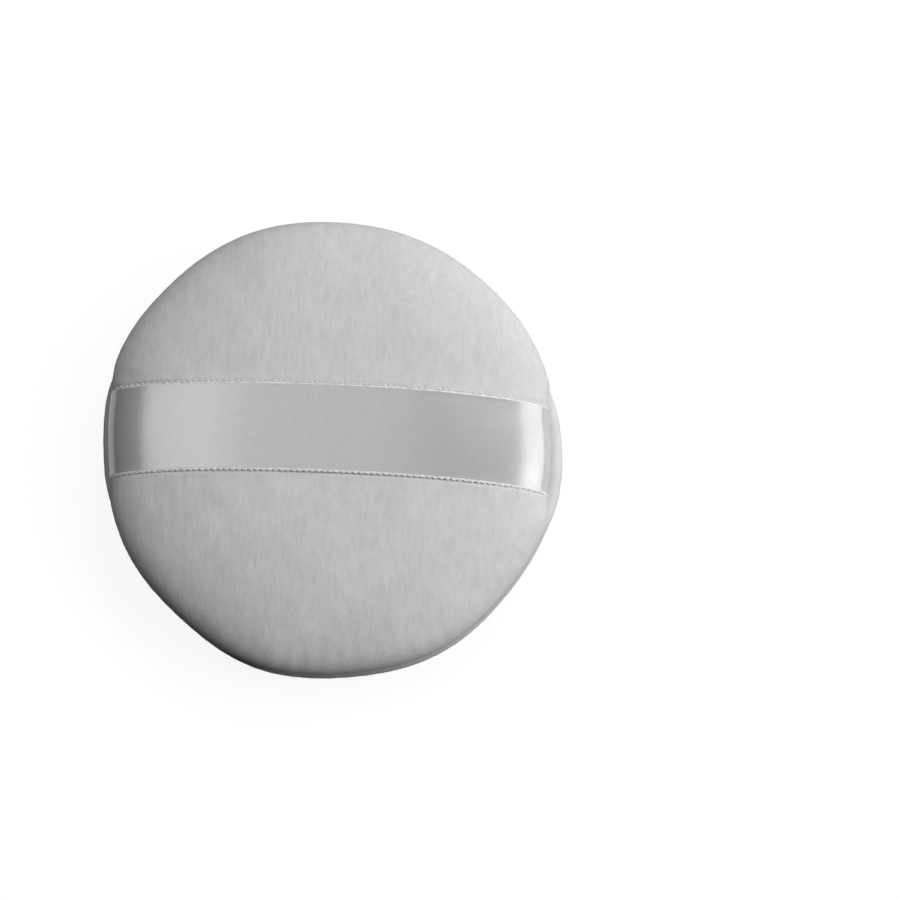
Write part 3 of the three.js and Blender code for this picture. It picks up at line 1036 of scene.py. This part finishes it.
def mixed(tree, first, second, share=1, way="MIX"):
    """A colour field that turns into a second one, or is multiplied by it, as the share grows."""
    mix = tree.nodes.new("ShaderNodeMix")
    mix.data_type = "RGBA"
    mix.blend_type = way
    feed(tree, mix, {"Factor": share, MIX_FIRST: first, MIX_SECOND: second})
    return mix.outputs[MIX_RESULT]


def calculated(tree, operation, *values):
    """The result of a Math node. Each value is a number or another node's output."""
    node = tree.nodes.new("ShaderNodeMath")
    node.operation = operation
    feed(tree, node, dict(enumerate(values)))
    return node.outputs[0]


def ranged(tree, share, low, high):
    """Turns a share from 0 to 1 into a value from low to high."""
    limits = {"Value": share, "To Min": low, "To Max": high}
    return new_node(tree, "ShaderNodeMapRange", limits).outputs["Result"]


def bumped(tree, shader, field, depth, strength, before=None):
    """Lets a field raise the surface, on top of an earlier bump if there is one."""
    relief = {"Strength": strength, "Distance": depth, "Height": field}
    if before is not None:
        relief["Normal"] = before
    normal = new_node(tree, "ShaderNodeBump", relief).outputs["Normal"]
    feed(tree, shader, {"Normal": normal})
    return normal


# Materials

def velour_material(name, tones):
    """Short pile: mottled streaks, slow brushed patches and a soft sheen."""
    material, tree, shader = new_material(name, VELOUR_SHADER)
    streaks = noise_field(tree, VELOUR_STREAK, STREAK_STRETCH_SHARES, detail=4, wander=VELOUR_WANDER_SHARE)
    patches = noise_field(tree, VELOUR_PATCH, detail=2)
    fine = noise_field(tree, VELOUR_FINE, detail=3)
    velour = mixed(tree, tone(tree, streaks, tones), tone(tree, patches, BRUSHED_TONES), way="MULTIPLY")
    feed(tree, shader, {"Base Color": velour})
    coarse = bumped(tree, shader, streaks, VELOUR_BUMP, BUMP_SHARES["coarse"])
    bumped(tree, shader, fine, VELOUR_BUMP, BUMP_SHARES["fine"], coarse)
    return material


def ribbon_edge(tree):
    """1 on the woven edges and loops of the ribbon, 0 on its face."""
    place = new_node(tree, "ShaderNodeTexCoord", {}).outputs["UV"]
    across = new_node(tree, "ShaderNodeSeparateXYZ", {"Vector": place}).outputs["Y"]
    face_reach = MIDDLE_SHARE - (PICOT_REACH + EDGE_WIDTH) / RIBBON_WIDTH
    return calculated(tree, "SUBTRACT", 1, calculated(tree, "COMPARE", across, MIDDLE_SHARE, face_reach))


def satin_material(name):
    """Warp-faced satin: light runs across the floats, sharp along the ribbon. Its edges and
    loops are woven of whiter, duller thread."""
    material, tree, shader = new_material(name, SATIN_SHADER)
    warp = noise_field(tree, WARP_SHARE, WARP_STRETCH_SHARES, detail=3, source="UV")
    slub = noise_field(tree, SLUB_SHARE, SLUB_STRETCH_SHARES, detail=3, source="UV")
    beads = noise_field(tree, BEAD_SHARE, BEAD_STRETCH_SHARES, source="UV")
    face = mixed(tree, tone(tree, warp, SATIN_TONES), tone(tree, slub, SLUB_TONES), way="MULTIPLY")
    woven = tone(tree, beads, EDGE_TONES, EDGE_SPAN_SHARES)
    edge = ribbon_edge(tree)
    tangent = new_node(tree, "ShaderNodeTangent", {})
    tangent.direction_type = "UV_MAP"
    tangent.uv_map = FLAT_MAP
    feed(tree, shader, {
        "Base Color": mixed(tree, face, woven, edge),
        "Roughness": ranged(tree, edge, SATIN_ROUGHNESS, EDGE_ROUGHNESS),
        "Tangent": tangent.outputs["Tangent"],
    })
    bumped(tree, shader, slub, RIBBON_WAVE, BUMP_SHARES["satin"])
    return material


def thread_material(name):
    material, tree, shader = new_material(name, THREAD_SHADER)
    fibres = noise_field(tree, PLY_RADIUS, detail=3)
    feed(tree, shader, {"Base Color": tone(tree, fibres, THREAD_TONES)})
    bumped(tree, shader, fibres, PLY_RADIUS / 2, BUMP_SHARES["thread"])
    return material


def foam_material(name):
    material, tree, shader = new_material(name, FOAM_SHADER)
    place = new_node(tree, "ShaderNodeTexCoord", {}).outputs["Object"]
    cells = new_node(tree, "ShaderNodeTexVoronoi", {"Vector": place, "Scale": 1 / FOAM_CELL})
    pores = cells.outputs["Distance"]
    # Painted shade: the colour goes darker in the pore hollows that the bump below sinks in
    feed(tree, shader, {"Base Color": tone(tree, pores, FOAM_AND_PORE_SHADE_TONES, FOAM_SPAN_SHARES)})
    bumped(tree, shader, pores, FOAM_SKIN, BUMP_SHARES["foam"])
    return material


def wadding_material(name):
    material, tree, shader = new_material(name, WADDING_SHADER)
    fibres = noise_field(tree, WADDING_TUFT / 4, FIBRE_STRETCH_SHARES, detail=6)
    feed(tree, shader, {"Base Color": tone(tree, fibres, WADDING_TONES)})
    bumped(tree, shader, fibres, WADDING_SKIN, BUMP_SHARES["wadding"])
    return material


def grey_diffuse(tree, share):
    return new_node(tree, "ShaderNodeBsdfDiffuse", {"Color": (share, share, share, 1)}).outputs[0]


def floor_material(name):
    """White with the object's soft shadow where the camera or a mirror sees it, grey to others."""
    material, tree, shader = new_material(name, {})
    tree.nodes.remove(shader)
    ray = new_node(tree, "ShaderNodeLightPath", {}).outputs
    seen = calculated(tree, "MAXIMUM", ray["Is Camera Ray"], ray["Is Glossy Ray"])
    seen = calculated(tree, "MAXIMUM", seen, ray["Is Transmission Ray"])
    glow = new_node(tree, "ShaderNodeEmission", {"Strength": FLOOR_GLOW_SHARE}).outputs[0]
    white = new_node(tree, "ShaderNodeAddShader", {0: grey_diffuse(tree, FLOOR_LIT_SHARE), 1: glow})
    looks = {"Fac": seen, 1: grey_diffuse(tree, FLOOR_UNSEEN_SHARE), 2: white.outputs[0]}
    chosen = new_node(tree, "ShaderNodeMixShader", looks)
    feed(tree, tree.nodes["Material Output"], {"Surface": chosen.outputs[0]})
    return material


# Stage

def camera_axes():
    """Unit vectors from the object to the camera, to the image's right and to its top."""
    level = math.cos(CAMERA_ELEVATION)
    right = Vector((math.cos(CAMERA_AZIMUTH), math.sin(CAMERA_AZIMUTH), 0))
    front = Vector((math.sin(CAMERA_AZIMUTH), -math.cos(CAMERA_AZIMUTH), 0))
    back = front * level + UP * math.sin(CAMERA_ELEVATION)
    return back, right, back.cross(right)


def set_camera():
    back, right, up = camera_axes()
    aim = UP * SEAM_HEIGHT + right * AIM_RIGHT_OF_PAD - up * AIM_BELOW_PAD
    camera = bpy.data.objects.new("camera", bpy.data.cameras.new("camera"))
    camera.data.sensor_width = SENSOR_WIDTH
    camera.data.lens = SENSOR_WIDTH * CAMERA_DISTANCE / FRAME_WIDTH
    camera.location = aim + back * CAMERA_DISTANCE
    camera.rotation_euler = back.to_track_quat("Z", "Y").to_euler()
    bpy.context.scene.collection.objects.link(camera)
    bpy.context.scene.camera = camera


def set_soft_box(name, right, rear, far, wide, long, radiance):
    """A square lamp seen from the pad at angles from overhead to the right and to the rear."""
    right, rear = math.radians(right), math.radians(rear)
    level = math.cos(rear)
    direction = Vector((math.sin(right) * level, math.sin(rear), math.cos(right) * level))
    across = Vector((0, 1, 0)).cross(direction).normalized()
    turned = Matrix((across, direction.cross(across), direction)).transposed()
    lamp = bpy.data.lights.new(name, "AREA")
    lamp.shape = "RECTANGLE"
    lamp.size = wide
    lamp.size_y = long
    lamp.energy = radiance * math.pi * wide * long
    holder = bpy.data.objects.new(name, lamp)
    holder.location = UP * SEAM_HEIGHT + direction * far
    holder.rotation_euler = turned.to_euler()
    bpy.context.scene.collection.objects.link(holder)


def set_world():
    """A dim room, which the camera sees as bright as the far floor."""
    world = bpy.data.worlds.new("room")
    world.use_nodes = True
    tree = world.node_tree
    camera_ray = new_node(tree, "ShaderNodeLightPath", {}).outputs["Is Camera Ray"]
    strength = ranged(tree, camera_ray, AMBIENT, FLOOR_GLOW_SHARE)
    feed(tree, tree.nodes["Background"], {"Color": (1, 1, 1, 1), "Strength": strength})
    bpy.context.scene.world = world


def set_floor():
    half = FLOOR_SIZE / 2
    corners = [(x * half, y * half, -FLOOR_DROP) for x, y in ((-1, -1), (1, -1), (1, 1), (-1, 1))]
    floor = make_piece("floor", corners, [[0, 1, 2, 3]], floor_material("floor"))


def dress(piece, body, slot, *nodes):
    """Ties a finished piece to its body and hides the solids that it stands for. slot is not used."""
    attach(piece, body)
    if nodes:
        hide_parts(*nodes)


# The puff

back_velour = velour_material("back_velour", BACK_VELOUR_TONES)
face_velour = velour_material("face_velour", FACE_VELOUR_TONES)
satin = satin_material("satin")
cotton = thread_material("thread")

back_relief, face_relief = simulated_relief()

back_cover, back_outside = cover_piece("velour_back", 1, BACK_CROWN, BACK_LEVEL, back_relief, back_velour)
face_cover, face_outside = cover_piece("velour_face", -1, FACE_CROWN, FACE_LEVEL, face_relief, face_velour)
dress(back_cover, "pad", "back_velour", "back_cover")
dress(face_cover, "pad", "face_velour", "face_cover")

dress(pile_piece("pile_back", back_outside, 1, BACK_PILE_SEED, back_velour), "pad", "back_velour")
dress(pile_piece("pile_face", face_outside, -1, FACE_PILE_SEED, face_velour), "pad", "face_velour")

foam = foam_piece("foam_disc", foam_material("foam"))
dress(foam, "pad", "foam", "foam_core")
fibre = wadding_material("wadding")
back_wadding = wadding_piece("fibre_back", 1, BACK_CROWN, BACK_LEVEL, fibre)
face_wadding = wadding_piece("fibre_face", -1, FACE_CROWN, FACE_LEVEL, fibre)
dress(back_wadding, "pad", "wadding", "back_wadding")
dress(face_wadding, "pad", "wadding", "face_wadding")

for half_name, half_side in (("left", -1), ("right", 1)):
    half = ribbon_half("ribbon_" + half_name, half_side, satin)
    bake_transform(half)
    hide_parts("satin_ribbon", "ribbon_tail_" + half_name)

for arc, (arc_start, arc_end) in seam_arcs().items():
    dress(rim_seam("seam_" + arc, arc_start, arc_end, cotton), "pad", "thread", "rim_seam_" + arc)
dress(closing_ladder("ladder_stitches", cotton), "pad", "thread", "closing_stitches")

set_floor()
set_camera()
set_world()
for soft_box in SOFT_BOXES:
    set_soft_box(*soft_box)
bpy.context.scene.view_settings.view_transform = "Standard"
